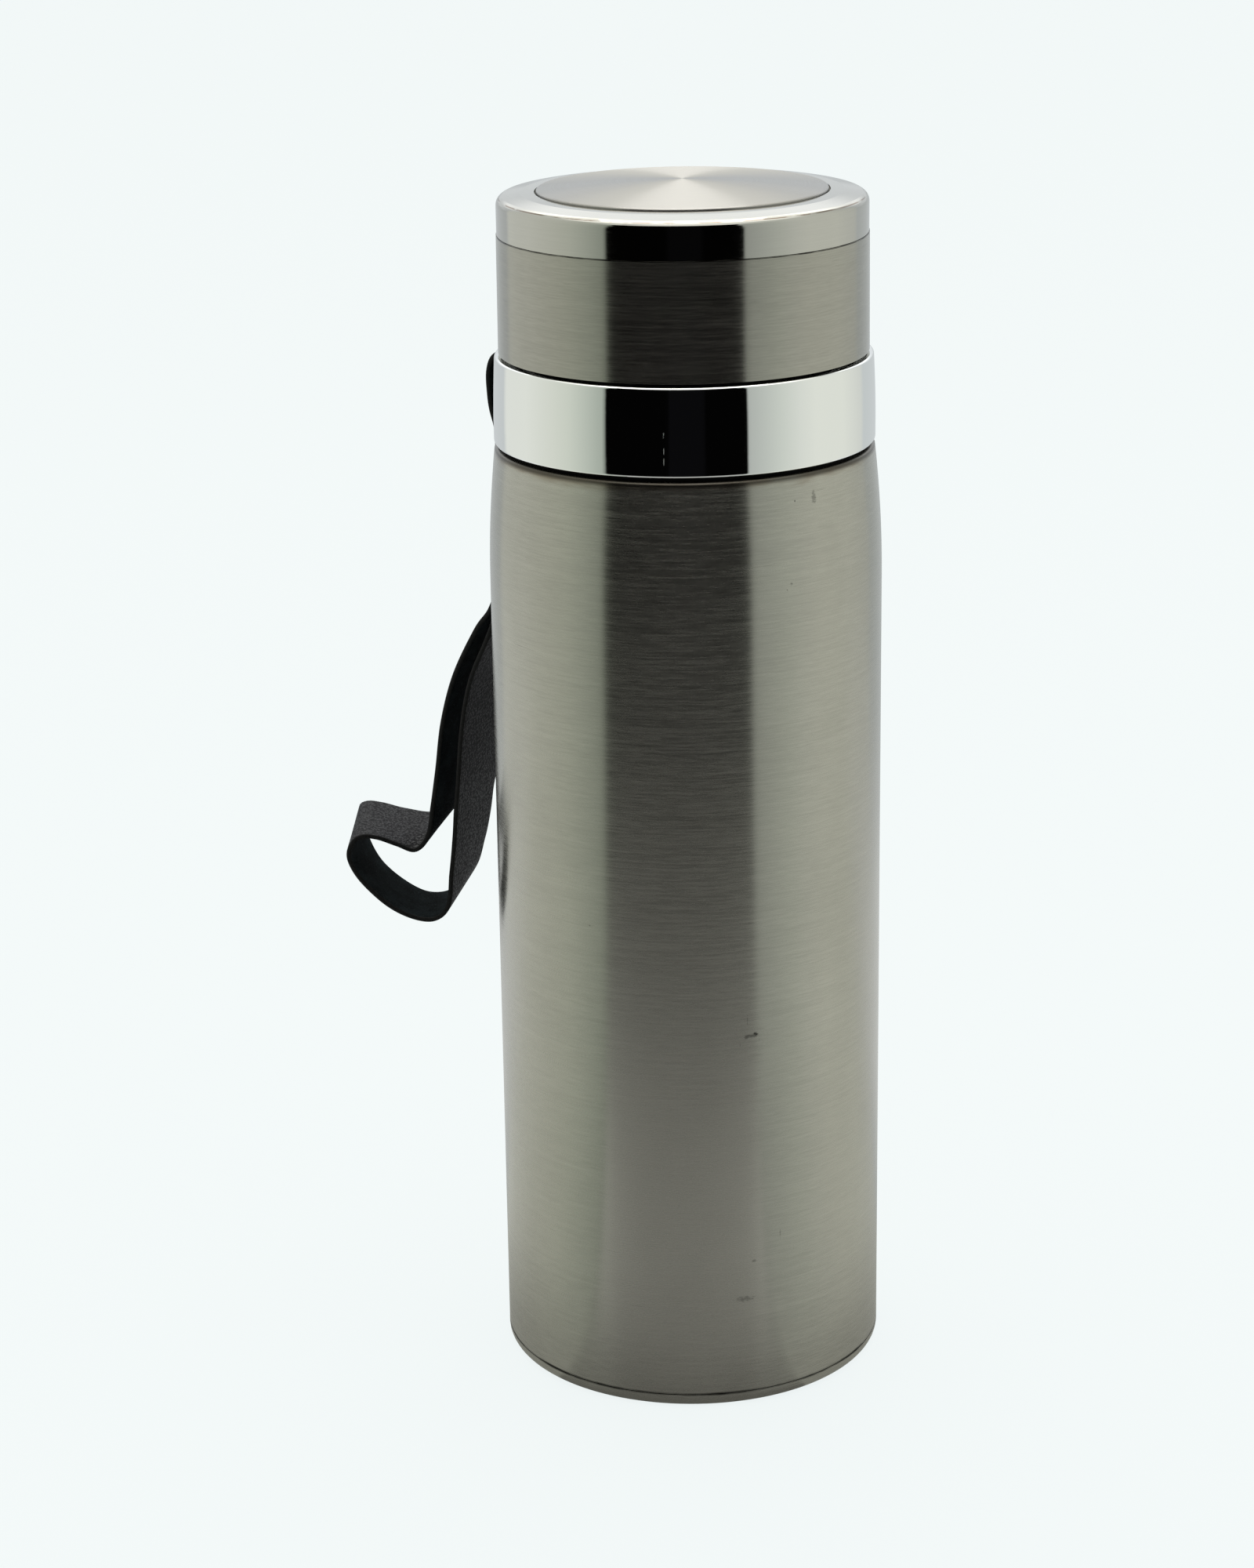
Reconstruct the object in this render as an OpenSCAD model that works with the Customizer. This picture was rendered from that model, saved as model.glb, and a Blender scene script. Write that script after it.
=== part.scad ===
// Double-walled vacuum flask with a screw lid, a chromed collar and a leather wrist strap.
// Millimetres, +Z up. The origin is the middle of the base, on the table.

/* [Body] */
// Outer diameter of the straight steel body
body_d = 70; // [58:1:90]
// Height of the body's top edge above the table
body_h = 172; // [140:1:210]
// Height over which the shoulder draws in
shoulder_h = 24; // [10:1:40]
// How far the shoulder has drawn in at the top edge
shoulder_in = 1.4; // [0.4:0.1:3]
// Rounding of the body's top edge
edge_r = 0.6; // [0.3:0.1:0.8]
// Sheet thickness of the outer shell, the bottom and the base cover
shell_t = 0.6; // [0.4:0.1:0.8]
// Height of the base cover's side wall
cover_h = 2.6; // [2.4:0.1:6]
// Rounding of the base cover's corner
foot_r = 2.1; // [1:0.1:2.3]
// Open seam between the base cover and the outer shell
seam_gap = 0.15; // [0.05:0.05:0.4]

/* [Inner flask] */
// Sheet thickness of the inner flask
inner_t = 0.5; // [0.3:0.1:0.8]
// Vacuum space between the two walls of the body
vacuum_w = 3.2; // [2:0.1:6]
// Vacuum space between the two walls of the neck
neck_gap = 1.7; // [1:0.1:3]
// Height of the mouth's rim above the body's top edge
neck_h = 29; // [27:0.5:34]
// Height of the inner flask's underside above the table
inner_floor = 12.5; // [11.5:0.5:30]
// Height over which the inner flask draws in to its neck
inner_shoulder_h = 18; // [12:1:40]
// Thickness of the foil wrapped round the inner flask
foil_t = 0.12; // [0.05:0.01:0.3]

/* [Collar] */
// Outer diameter of the chromed collar
collar_d = 67.4; // [66:0.2:84]
// Height of the collar
collar_h = 15.45; // [14:0.05:20]
// Thickness of the black gasket under the collar
gasket_t = 0.65; // [0.5:0.05:2]
// How much slimmer the collar is at its top
collar_crown = 0.35; // [0:0.05:0.6]
// Height of the strap window in the collar
window_h = 12; // [11:0.5:12.5]
// Height of the sill under the strap window
sill_h = 2.25; // [1.5:0.05:4]
// Diameter of the strap bar that crosses the window
bar_d = 2.2; // [1.6:0.1:2.6]

/* [Lid] */
// Outer diameter of the brushed lid sleeve
lid_d = 65.2; // [52:0.2:66]
// Height of the lid sleeve
sleeve_h = 20.6; // [19.5:0.1:30]
// Open gap between the collar and the lid
lid_gap = 0.5; // [0.3:0.1:1.5]
// Height of the satin cap above the sleeve
cap_h = 7.2; // [6:0.1:12]
// Rounding of the cap's shoulder
cap_r = 1.6; // [0.8:0.1:2.4]
// Diameter of the spun disc in the lid's top
disc_d = 50.8; // [36:0.2:56]
// Rise of the disc's dome above its edge
disc_rise = 1.45; // [0.4:0.05:3]
// Depth of the plug below the mouth's rim
plug_depth = 20; // [12:0.5:26]

/* [Thread] */
// Rise of the lid in one turn
lead = 6; // [4.5:0.5:6]
// How far a thread ridge stands out
ridge_h = 1.1; // [0.8:0.1:1.3]
// Clearance between the neck's thread and the lid's
thread_gap = 0.4; // [0.3:0.05:0.6]
// Turns of ridge on the neck
neck_turns = 1.25; // [1:0.125:1.25]

/* [Strap] */
// Width of the leather strap
strap_w = 14; // [10:0.5:16]
// Thickness of the leather strap
strap_t = 0.9; // [0.6:0.1:1]
// Direction of the strap round the body, from +X
strap_side = 145; // [90:1:180]
// Diameter of the rivet's head
rivet_d = 6; // [4:0.5:8]

/* [Hidden] */
$fn = 128;
fit = 0.1;            // room between two pieces that are pressed or glued together
run = 0.4;            // room between two pieces that turn past each other
arc_steps = 8;        // straight pieces in a rounded corner
bend_steps = 12;      // straight pieces in a long curve

// Radii of the walls, from the outside in
body_r = body_d/2;
shell_in = body_r - shell_t;
inner_out = shell_in - vacuum_w;
collar_r = collar_d/2;
lid_r = lid_d/2;
sleeve_t = 0.5;
liner_t = 1.5;
liner_out = lid_r - sleeve_t - fit;
liner_bore = liner_out - liner_t;
ridge_out = liner_bore - thread_gap;          // crest of the neck's ridge
neck_root = ridge_out - ridge_h;              // wall that the neck's ridge stands on
ridge_in = neck_root + thread_gap;            // crest of the lid's ridge
ring_t = 1.15;                                // wall of the neck ring inside the collar
ring_step = 1;                                // how far the threaded part overhangs the collar
ring_out = neck_root - ring_step;
neck_out = ring_out - ring_t;                 // outside of the steel neck
bore_r = neck_out - shell_t - neck_gap - inner_t;

// Heights of the joins, from the table up
shell_z = cover_h + seam_gap;
shoulder_z = body_h - shoulder_h;
collar_z = body_h + gasket_t;
collar_top = collar_z + collar_h;
lid_z = collar_top + lid_gap;
sleeve_top = lid_z + sleeve_h;
cap_top = sleeve_top + cap_h;
rim_z = body_h + neck_h;
rim_t = 0.6;
seal_t = 0.9;
seal_gap = 0.2;
web_t = 1.5;
flange_t = 1.2;
web_z = rim_z + seal_gap + seal_t + flange_t;  // underside of the liner's web
plug_z = rim_z - plug_depth;
plug_room = 0.7;                              // room between the plug and the neck's bore
plug_r = bore_r - plug_room;

// Points of an arc about (x, y), from angle a to angle b
function arc(x, y, r, a, b, n = arc_steps) =
  [for (i = [0:n]) let (t = a + (b - a)*i/n) [x + r*cos(t), y + r*sin(t)]];
// Points of a smooth draw-in from radius ra at height za to radius rb at height zb
function draw_in(ra, za, rb, zb, n = bend_steps) =
  [for (i = [0:n]) let (u = i/n) [ra + (rb - ra)*(1 - cos(180*u))/2, za + (zb - za)*u]];
function flip(p) = [for (i = [len(p) - 1:-1:0]) p[i]];

module turned(points) rotate_extrude() polygon(points);
module tube(outer, inner, z0, z1) turned([[inner, z0], [outer, z0], [outer, z1], [inner, z1]]);
module disc(r, z0, z1) translate([0, 0, z0]) cylinder(r = r, h = z1 - z0);

// ---- Base ----

cover_tuck = 3;            // height of the ring that tucks up inside the bottom
bottom_z = 3.4;            // lower edge of the bottom's skirt
bottom_h = 5;              // height of the skirt
bottom_top = bottom_z + bottom_h;
groove_r = 26;             // middle of the pressed ring under the base
groove_w = 3;
groove_h = 0.4;

module base_cover() color("silver") {
  foot_in = foot_r - min(shell_t, foot_r/2);
  tuck_out = shell_in - shell_t - fit;
  difference() {
    union() {
      turned(concat([[0, 0]], arc(body_r - foot_r, foot_r, foot_r, -90, 0),
        [[body_r, cover_h], [body_r - shell_t, cover_h]],
        arc(body_r - shell_t - foot_in, shell_t + foot_in, foot_in, 0, -90),
        [[0, shell_t]]));
      tube(tuck_out, tuck_out - shell_t, shell_t/2, bottom_z + cover_tuck);
    }
    tube(groove_r + groove_w/2, groove_r - groove_w/2, -1, groove_h);
  }
}

module outer_bottom() color("gray") difference() {
  turned([[0, bottom_top - shell_t], [shell_in - shell_t, bottom_top - shell_t],
    [shell_in - shell_t, bottom_z], [shell_in, bottom_z], [shell_in, bottom_top], [0, bottom_top]]);
  disc(vent_r, bottom_z, bottom_top + 1);
}

// The pump-out hole and the bead of solder that closes it
vent_r = 1;
bead_r = 3;
bead_h = 1.2;
module seal_bead() color("dimgray") {
  disc(vent_r, bottom_top - shell_t, bottom_top);
  turned(concat([[0, bottom_top - shell_t]],
    arc(bead_r - bead_h/2, bottom_top - shell_t - bead_h/2, bead_h/2, 90, -90),
    [[0, bottom_top - shell_t - bead_h]]));
}

getter_r = 4;
getter_h = 2;
getter_x = 14;
module getter() color("darkgray")
  translate([getter_x, 0, 0]) disc(getter_r, bottom_top, bottom_top + getter_h);

// ---- Body ----

// Radius of the circle that the shoulder follows
shoulder_r = (pow(shoulder_h, 2) + pow(shoulder_in, 2))/(2*shoulder_in);
shoulder_end = asin((shoulder_h - edge_r)/shoulder_r);
function shoulder(r) = arc(r - shoulder_r, shoulder_z, shoulder_r, 0, shoulder_end, bend_steps);
neck_fillet = 1;

module outer_shell() color("silver") {
  lip_r = body_r - shoulder_r*(1 - cos(shoulder_end));
  turned(concat([[shell_in, shell_z], [body_r, shell_z]], shoulder(body_r),
    arc(lip_r - edge_r, body_h - edge_r, edge_r, 0, 90),
    arc(neck_out + neck_fillet, body_h + neck_fillet, neck_fillet, 270, 180),
    [[neck_out, rim_z - rim_t], [neck_out - shell_t, rim_z - rim_t],
     [neck_out - shell_t, body_h - shell_t], [lip_r - edge_r, body_h - shell_t]],
    flip(shoulder(shell_in))));
}

module heat_shield() color("peru")
  tube(inner_out + fit + foil_t, inner_out + fit, inner_floor + floor_r,
    body_h - inner_shoulder_h - floor_r);

floor_r = 8;               // rounding of the inner flask's bottom
draw_end = 4;              // how far below the body's top edge the inner neck is straight again
weld_z = inner_floor + floor_r + 4;       // butt weld between the inner flask and its bottom
module inner_flask() color("lightgray") {
  draw_z = body_h - inner_shoulder_h;
  draw_top = body_h - draw_end;
  turned(concat([[inner_out - inner_t, weld_z], [inner_out, weld_z]],
    draw_in(inner_out, draw_z, bore_r + inner_t, draw_top),
    [[bore_r + inner_t, rim_z - rim_t], [neck_out, rim_z - rim_t], [neck_out, rim_z], [bore_r, rim_z]],
    flip(draw_in(inner_out - inner_t, draw_z, bore_r, draw_top))));
}

module inner_bottom() color("silver") {
  middle = [inner_out - floor_r, inner_floor + floor_r];
  turned(concat([[0, inner_floor]], arc(middle[0], middle[1], floor_r, -90, 0),
    [[inner_out, weld_z], [inner_out - inner_t, weld_z]],
    arc(middle[0], middle[1], floor_r - inner_t, 0, -90), [[0, inner_floor + inner_t]]));
}

// ---- Thread ----

ridge_root_w = 2.6;        // width of a ridge where it meets its wall
ridge_crest_w = 1.4;       // width of a ridge at its crest
ridge_sink = 0.3;          // how deep a ridge is rooted in its wall
turn_steps = 48;           // straight pieces in one turn
thread_z = lid_z + 2.2;    // height of the neck's ridge at angle 0
lid_ridge_start = 0.42;    // share of a turn by which the lid's ridge starts later

// A right-hand ridge from radius "root" to radius "crest", at height z where its angle is 0
module ridge(root, crest, z, from, turns) {
  n = round(turns*turn_steps);
  first = from*turn_steps;
  points = [for (i = [0:n])
    let (a = 360*(first + i)/turn_steps, h = z + lead*(first + i)/turn_steps,
      top = i == 0 || i == n ? root + (crest > root ? ridge_sink : -ridge_sink)*1.2 : crest)
    for (s = [[root, -ridge_root_w], [top, -ridge_crest_w], [top, ridge_crest_w], [root, ridge_root_w]])
      [s[0]*cos(a), s[0]*sin(a), h + s[1]/2]];
  sides = [for (i = [0:n - 1], k = [0:3], half = [0, 1]) let (a = 4*i + k, b = 4*i + (k + 1)%4)
    half == 0 ? [a, b, b + 4] : [a, b + 4, a + 4]];
  faces = concat([[3, 2, 1, 0]], [[for (k = [0:3]) 4*n + k]], sides);
  outward = crest > root;
  polyhedron(points = points, faces = outward ? faces : [for (f = faces) flip(f)], convexity = 10);
}

// ---- Collar ----

module neck_ring() color("whitesmoke") {
  top = rim_z - rim_t - fit;
  step_z = collar_top + fit;
  tube_in = neck_out + fit/2;
  turned([[tube_in, body_h + neck_fillet], [ring_out, body_h + neck_fillet], [ring_out, step_z],
    [neck_root, step_z], [neck_root, top], [tube_in, top]]);
  ridge(neck_root - ridge_sink, ridge_out, thread_z, 0, neck_turns);
}

module collar_gasket() color("black")
  tube(body_r - shoulder_in - 2*edge_r, neck_out + 2*neck_fillet, body_h, collar_z);

module collar_body() {
  bore = ring_out + fit;
  low_r = 0.6;
  top_r = 0.5;
  crown_z = collar_z + 2.6;               // height at which the collar is widest
  reach = collar_top - top_r - crown_z;
  function side(z) = collar_r - collar_crown*pow((z - crown_z)/reach, 2);
  turned(concat([[bore, collar_z]],
    arc(side(collar_z + low_r) - low_r, collar_z + low_r, low_r, -90, 0),
    [for (i = [1:bend_steps - 1]) let (z = crown_z + reach*i/bend_steps) [side(z), z]],
    arc(collar_r - collar_crown - top_r, collar_top - top_r, top_r, 0, 90),
    [[bore, collar_top]]));
}

// Rounded rectangle, standing in the YZ plane and cut through from radius "from" outwards
module window(from, w, z, h, r) translate([from, 0, z]) rotate([90, 0, 90])
  linear_extrude(collar_r) {
    translate([-w/2 + r, 0]) square([w - 2*r, h]);
    translate([-w/2, r]) square([w, h - 2*r]);
    for (x = [-w/2 + r, w/2 - r], y = [r, h - r]) translate([x, y]) circle(r = r, $fn = 32);
  }

window_w = strap_w + 1.8;                 // the strap has 0.9 mm of room at each side
window_r = 1;
window_z = collar_z + sill_h;
window_mid = window_z + window_h/2;
bar_r = bar_d/2;
bar_inset = 0.2;                          // how far the bar lies inside the collar's face
bar_ring = collar_r - bar_r - bar_inset;  // the bar follows the collar's curve at this radius
bar_z = window_mid + 1.7;
bar_root = 0.7;                           // how far each end of the bar runs into the collar
module collar() color("gainsboro") rotate([0, 0, strap_side]) {
  half = asin((window_w/2 + bar_root)/bar_ring);
  difference() {
    collar_body();
    window(ring_out - 1, window_w, window_z, window_h, window_r);
  }
  rotate([0, 0, -half]) rotate_extrude(angle = 2*half)
    translate([bar_ring, bar_z]) circle(r = bar_r, $fn = 48);
}

// ---- Strap ----
// Local frame: X points straight out through the window, Y along the strap's width, Z up.

pivot_in = 0.3;                           // the pivot lies this far inside the collar's face
pivot_x = collar_r - pivot_in;            // the strap turns about a straight line here
pivot_z = window_mid + 0.1;
sill_reach = 1.3;                         // how far the strap keeps clear of the sill's edge
hang_r = max(body_r, collar_r + sill_reach);
eye_r = 4;                                // inside of the eye in which the leather wraps the bar
loop_r = eye_r + strap_t/2;               // middle of the leather there
strand_gap = 0.2;                         // open gap between the two strands at the rivet
pinch = strap_t + strand_gap;
near_x = hang_r + 0.8;                    // middle of the strand next to the body
bulge = 0.7;                              // how much fuller the front of the eye is
far_x = near_x + pinch;

// Each row is a station: distance out, height, distance sideways, turn and lean of the width.
// The eye round the bar, from its underside, over the back, to its bulging front
eye_rows = [for (a = [250, 215, 180, 145, 110, 75, 40, 5])
    let (r = loop_r + (a < 60 ? bulge : a < 90 ? bulge/4 : 0))
  [pivot_x + r*cos(a), pivot_z + r*sin(a), 0, 0, 0]];
// The outer strand comes back from the bulge to the rivet, and the inner one passes the sill
out_rows = [for (p = [[1.55, -3.5], [1.15, -6.3], [0.3, -9]]) [far_x + p[0], pivot_z + p[1], 0, 0, 0]];
in_rows = [for (p = [[-0.05, -8], [-0.5, -6], [-1.7, -4.8]]) [near_x + p[0], pivot_z + p[1], 0, 0, 0]];
// The free part of the loop: distance from the body's side, height below the pivot, and the rest
free_rows = [
  [2.2, -38, 0, 0, 0], [4.5, -44, 0, 0, 0], [8, -48.5, 0, 0, 0], [13.5, -58, 0, 1, 0],
  [17, -67.5, 0, 3, 2], [18.5, -76.5, 0.5, 5, 5], [19.5, -83.5, 1.5, 7, 10],
  [20.5, -88.5, 2.5, 10, 16], [23.8, -91.5, 4.2, 21, 14], [27.3, -90.5, 7, 31, 11],
  [30, -88.8, 10.3, 34, 10], [32, -88.3, 12.7, 33, 11], [33.3, -90, 13.6, 30, 15],
  [33.3, -94.3, 13, 26, 3], [31.3, -99, 11.6, 24, -3], [27.3, -103.5, 9, 23, -2],
  [23.7, -106, 6, 23, 0], [20, -105.7, 3.5, 20, 7], [16.7, -101.5, 2.3, 13, 20],
  [16, -96, 1.3, 10, 14], [15.6, -92.5, 0.8, 9, 10], [15.2, -88.5, 0.4, 8, 7],
  [14.8, -84.3, 0.2, 7, 5], [14, -79, 0, 5, 3], [12.3, -68, 0, 2, 1], [9.8, -58.5, 0, 1, 0],
  [5.3, -49.5, 0, 0, 0], [2.8, -43.5, 0, 0, 0], [1.2, -37, 0, 0, 0]];
// Both strands run straight past the rivet
straight = [11, 15, 19, 23, 27, 31];
rivet_z = pivot_z - straight[2];
strap_rows = concat(eye_rows, out_rows, [for (d = straight) [far_x, pivot_z - d, 0, 0, 0]],
  [for (r = free_rows) [hang_r + r[0], pivot_z + r[1], r[2], r[3], r[4]]],
  [for (d = flip(straight)) [near_x, pivot_z - d, 0, 0, 0]], in_rows);
row_steps = 3;                            // rings between two stations

// Value and slope of a smooth curve through stations a, b, c, d, at u between b and c
function blend(a, b, c, d, u) = (2*b + (c - a)*u + (2*a - 5*b + 4*c - d)*pow(u, 2)
  + (3*b - a - 3*c + d)*pow(u, 3))/2;
function slope(a, b, c, d, u) = ((c - a) + 2*(2*a - 5*b + 4*c - d)*u
  + 3*(3*b - a - 3*c + d)*pow(u, 2))/2;
function row(i) = strap_rows[(i + len(strap_rows))%len(strap_rows)];
function unit(v) = v/norm(v);

// The strap's four edges at each ring, as points of one closed sweep
function strap_ring(i, u) =
  let (s = blend(row(i - 1), row(i), row(i + 1), row(i + 2), u),
    v = slope(row(i - 1), row(i), row(i + 1), row(i + 2), u),
    way = [v[0], v[2], v[1]],
    wide = [sin(s[3])*cos(s[4]), -cos(s[3])*cos(s[4]), sin(s[4])],
    thick = unit(cross(way, wide))*strap_t/2,
    mid = [s[0], s[2], s[1]])
  [for (k = [[-1, -1], [1, -1], [1, 1], [-1, 1]]) mid + wide*strap_w/2*k[0] + thick*k[1]];

module strap_loop() {
  n = len(strap_rows)*row_steps;
  points = [for (i = [0:n - 1]) each strap_ring(floor(i/row_steps), (i%row_steps)/row_steps)];
  faces = [for (i = [0:n - 1], k = [0:3], half = [0, 1])
    let (j = (i + 1)%n, a = 4*i + k, b = 4*i + (k + 1)%4, c = 4*j + (k + 1)%4, d = 4*j + k)
    half == 0 ? [a, b, c] : [a, c, d]];
  polyhedron(points = points, faces = faces, convexity = 10);
}

post_r = 1.4;
head_t = 0.6;
washer_t = 0.45;
module strap() color("#202024") rotate([0, 0, strap_side]) difference() {
  strap_loop();
  translate([near_x - pinch, 0, rivet_z]) rotate([0, 90, 0]) cylinder(r = post_r, h = 3*pinch, $fn = 48);
}

module strap_rivet() color("silver") rotate([0, 0, strap_side])
  translate([near_x - strap_t/2 - washer_t, 0, rivet_z]) rotate([0, 90, 0]) rotate_extrude($fn = 48) {
    post_h = washer_t + pinch + strap_t;
    polygon(concat([[0, 0], [post_r, 0], [post_r, post_h], [rivet_d/2, post_h]],
      arc(rivet_d/2 - head_t/2, post_h + head_t/2, head_t/2, 0, 90), [[0, post_h + head_t]]));
  }

module rivet_washer() color("silver") rotate([0, 0, strap_side])
  translate([near_x - strap_t/2 - washer_t, 0, rivet_z]) rotate([0, 90, 0]) difference() {
    cylinder(r = rivet_d/2 - head_t, h = washer_t, $fn = 48);
    translate([0, 0, -1]) cylinder(r = post_r, h = washer_t + 2, $fn = 48);
  }

// ---- Lid ----

cap_skirt_t = 0.7;
cap_in = liner_out - cap_skirt_t;
recess_h = 1.7;                           // depth of the recess that holds the disc
cap_floor = cap_top - recess_h;
cap_web = 1.2;
disc_r = disc_d/2;
disc_room = 0.3;
disc_edge = 0.4;                          // how far the disc's edge stands above the cap
disc_t = 0.5;

sleeve_draft = 0.1;                       // how much slimmer the sleeve is at its top
module lid_sleeve() color("silver")
  turned([[lid_r - sleeve_t, lid_z], [lid_r, lid_z], [lid_r - sleeve_draft, sleeve_top],
    [lid_r - sleeve_t, sleeve_top]]);

module lid_cap() color("gainsboro") {
  step = 0.05;                            // the fine seam above the sleeve
  wall = lid_r - 2*sleeve_draft;
  crown = 0.5;                            // rise from the rounded shoulder to the recess
  shoulder_a = 70;
  skirt_z = web_z + web_t + fit;
  rim_mid = (wall - cap_r + disc_r)/2;
  turned(concat([[cap_in, skirt_z], [liner_out, skirt_z], [liner_out, sleeve_top + step],
      [wall, sleeve_top + step]],
    arc(wall - cap_r, cap_top - cap_r - crown, cap_r, 0, shoulder_a),
    [[rim_mid, cap_top - crown/5], [disc_r + disc_room, cap_top], [disc_r + disc_room, cap_floor],
     [0, cap_floor], [0, cap_floor - cap_web], [cap_in, cap_floor - cap_web]]));
}

module lid_disc() color("lightgray") {
  top = cap_top + disc_edge;
  round_r = 0.3;
  dome_r = (pow(disc_r, 2) + pow(disc_rise, 2))/(2*disc_rise);
  dome_a = asin((disc_r - round_r)/dome_r);
  dome_z = top + disc_rise - dome_r;
  inner_a = asin((disc_r - disc_t)/dome_r);
  turned(concat([[disc_r - disc_t, cap_floor], [disc_r, cap_floor]],
    arc(disc_r - round_r, top - round_r, round_r, 0, 80),
    arc(0, dome_z, dome_r, 90 - dome_a, 90, bend_steps),
    arc(0, dome_z - disc_t, dome_r, 90, 90 - inner_a, bend_steps)));
}

pad_inset = 5;                            // the pad's edge lies this far inside the disc's
module disc_pad() color("dimgray")
  disc(disc_r - pad_inset, cap_floor, cap_top + disc_edge - disc_t - fit);

module lid_liner() color("whitesmoke") {
  skirt_z = lid_z + run;
  turned([[liner_bore, skirt_z], [liner_out, skirt_z], [liner_out, web_z + web_t],
    [0, web_z + web_t], [0, web_z], [liner_bore, web_z]]);
  ridge(liner_bore + ridge_sink, ridge_in, thread_z - lead/2, lid_ridge_start, 1);
}

plug_t = 1.4;
flange_r = neck_out - 0.2;                // the flange stops just inside the rim's edge
module lid_plug() color("whitesmoke") {
  corner = 2;
  turned(concat([[0, plug_z]], arc(plug_r - corner, plug_z + corner, corner, -90, 0),
    [[plug_r, web_z - flange_t], [flange_r, web_z - flange_t], [flange_r, web_z],
     [plug_r - plug_t, web_z], [plug_r - plug_t, plug_z + plug_t], [0, plug_z + plug_t]]));
}

module plug_foam() color("ivory")
  disc(plug_r - plug_t - fit, plug_z + plug_t, web_z);

module lid_seal() color("silver") {
  lip = 0.3;
  low = web_z - flange_t - seal_t;
  turned([[plug_r, low], [flange_r - lip, low], [flange_r, low + lip], [flange_r, low + seal_t],
    [plug_r, low + seal_t]]);
}

module lid_foam() color("ivory")
  disc(cap_in - run, web_z + web_t + fit, cap_floor - cap_web - fit);

base_cover();
outer_bottom();
seal_bead();
getter();
outer_shell();
heat_shield();
inner_flask();
inner_bottom();
neck_ring();
collar_gasket();
collar();
strap();
strap_rivet();
rivet_washer();
lid_sleeve();
lid_cap();
lid_disc();
disc_pad();
lid_liner();
lid_plug();
plug_foam();
lid_seal();
lid_foam();
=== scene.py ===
import math

import bmesh
import bpy
import numpy as np
from mathutils import Matrix


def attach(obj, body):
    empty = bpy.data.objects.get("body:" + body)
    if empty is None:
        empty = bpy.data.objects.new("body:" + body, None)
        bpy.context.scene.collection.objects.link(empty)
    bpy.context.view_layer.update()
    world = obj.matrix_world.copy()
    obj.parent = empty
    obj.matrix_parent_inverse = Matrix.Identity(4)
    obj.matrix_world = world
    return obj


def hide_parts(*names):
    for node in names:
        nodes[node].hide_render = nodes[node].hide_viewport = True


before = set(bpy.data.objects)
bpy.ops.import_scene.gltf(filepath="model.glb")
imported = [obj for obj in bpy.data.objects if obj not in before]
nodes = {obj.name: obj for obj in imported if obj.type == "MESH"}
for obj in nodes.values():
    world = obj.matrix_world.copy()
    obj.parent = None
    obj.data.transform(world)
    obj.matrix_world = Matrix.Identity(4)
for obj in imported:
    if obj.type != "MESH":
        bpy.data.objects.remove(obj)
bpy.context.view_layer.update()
print("frame loaded:", len(nodes), "nodes")


def heights(name):  # lowest and highest point of a CAD piece
    points = [v.co.z for v in nodes[name].data.vertices]
    return min(points), max(points)


class Link:  # a socket that can be written in sums
    def __init__(self, shade, socket):
        self.shade, self.socket = shade, socket

    def join(self, operation, first, second):
        return self.shade.use("Math", {"operation": operation}, {0: first, 1: second})

    def __add__(self, other):
        return self.join("ADD", self, other)

    def __radd__(self, other):
        return self.join("ADD", other, self)

    def __sub__(self, other):
        return self.join("SUBTRACT", self, other)

    def __rsub__(self, other):
        return self.join("SUBTRACT", other, self)

    def __mul__(self, other):
        return self.join("MULTIPLY", self, other)

    def __rmul__(self, other):
        return self.join("MULTIPLY", other, self)

    def __truediv__(self, other):
        return self.join("DIVIDE", self, other)

    def __rtruediv__(self, other):
        return self.join("DIVIDE", other, self)

    def __pow__(self, other):
        return self.join("POWER", self, other)

    def __rpow__(self, other):
        return self.join("POWER", other, self)

    def above(self, low, high, bottom=0.0, top=1.0):  # smooth step from bottom to top
        ends = {"From Min": low, "From Max": high, "To Min": bottom, "To Max": top}
        return self.shade.use("MapRange", {"interpolation_type": "SMOOTHSTEP"}, {"Value": self, **ends})

    def between(self, rise, fall):  # 1 inside a range, with soft ends
        return self.above(*rise) * (1.0 - self.above(*fall))

    def onLine(self, middle, half, inner, outer):  # 1 on a thin line, 0 beside it
        off = (self - middle) / half
        return 1.0 - (off * off).above(inner, outer)


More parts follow.
